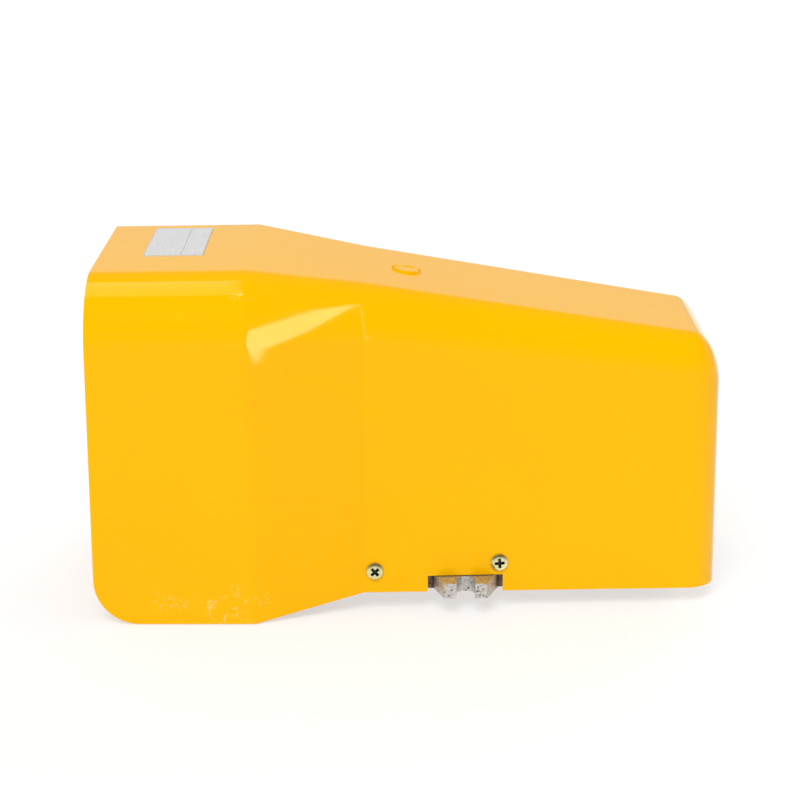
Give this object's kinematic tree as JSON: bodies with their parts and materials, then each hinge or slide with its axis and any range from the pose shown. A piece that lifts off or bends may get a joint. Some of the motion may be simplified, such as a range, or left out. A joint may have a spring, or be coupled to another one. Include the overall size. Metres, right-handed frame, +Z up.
{
  "type": "pneumatic foot valve",
  "caption": "Foot-operated air valve: open-fronted yellow guard hood over a hinged pedal, a cam roller and a spring-return spool valve, on a cast base with slotted lugs.",
  "frame": {"origin": "middle of the footprint on the floor, under the hood", "axes": "+X towards the closed toe end, +Y to the side away from the picture, +Z up"},
  "size_m": [0.2397, 0.124, 0.1336],
  "materials": {
    "yellow_abs": "glossy moulded ABS",
    "silver_plate": "satin foil plate",
    "yellow_zinc": "yellow zinc plated steel",
    "cast_alloy": "as cast, finely pitted",
    "valve_alloy": "machined, clear anodised",
    "pedal_alloy": "black powder coat",
    "black_rubber": "matt moulded",
    "seal_rubber": "smooth nitrile",
    "gasket_board": "fibre board",
    "zinc_steel": "bright zinc plated",
    "black_steel": "black oxide",
    "bright_steel": "ground steel",
    "spring_steel": "drawn wire",
    "bronze": "sintered bronze"
  },
  "bodies": {
    "root": {"guard_hood": "yellow_abs", "rating_plate": "silver_plate", "hood_screws": "yellow_zinc", "base_casting": "cast_alloy", "rubber_feet": "black_rubber", "feet_screws": "zinc_steel", "pivot_pin": "bright_steel", "pivot_clips": "black_steel", "stop_bumper": "black_rubber", "pedal_spring": "spring_steel", "valve_body": "valve_alloy", "front_cap": "valve_alloy", "cap_screws": "black_steel", "rod_seal": "seal_rubber", "valve_gasket": "gasket_board", "channel_plate": "valve_alloy", "port_block": "valve_alloy", "block_screws": "black_steel", "valve_bolts": "zinc_steel", "spool_spring": "spring_steel"},
    "pedal": {"pedal": "pedal_alloy", "pedal_mat": "black_rubber", "pedal_bushes": "bronze", "cam_plate": "bright_steel", "cam_screws": "black_steel"},
    "spool": {"plunger": "bright_steel", "spool": "bright_steel", "spool_seals": "seal_rubber", "roller_pin": "bright_steel"},
    "roller": {"cam_roller": "bright_steel"}
  },
  "joints": [
    {"name": "pedal_tilt", "type": "hinge", "parent": "root", "child": "pedal", "pos_m": [-0.069, 0, 0.024], "axis": [0, 1, 0], "range_deg": [0, 8], "stiffness_Nm_per_rad": 6, "springref_deg": -8.59, "deforming": ["pedal_spring"]},
    {"name": "spool_slide", "type": "slide", "parent": "root", "child": "spool", "axis": [1, 0, 0], "range_m": [0, 0.004], "stiffness_N_per_m": 400, "springref_m": -0.005, "deforming": ["spool_spring"]},
    {"name": "roller_spin", "type": "hinge", "parent": "spool", "child": "roller", "pos_m": [0.0321, 0, 0.038], "axis": [0, 1, 0], "continuous": true}
  ],
  "couplings": [
    {"joint": "spool_slide", "follows": "pedal_tilt", "m_per_rad": 0.028648}
  ]
}
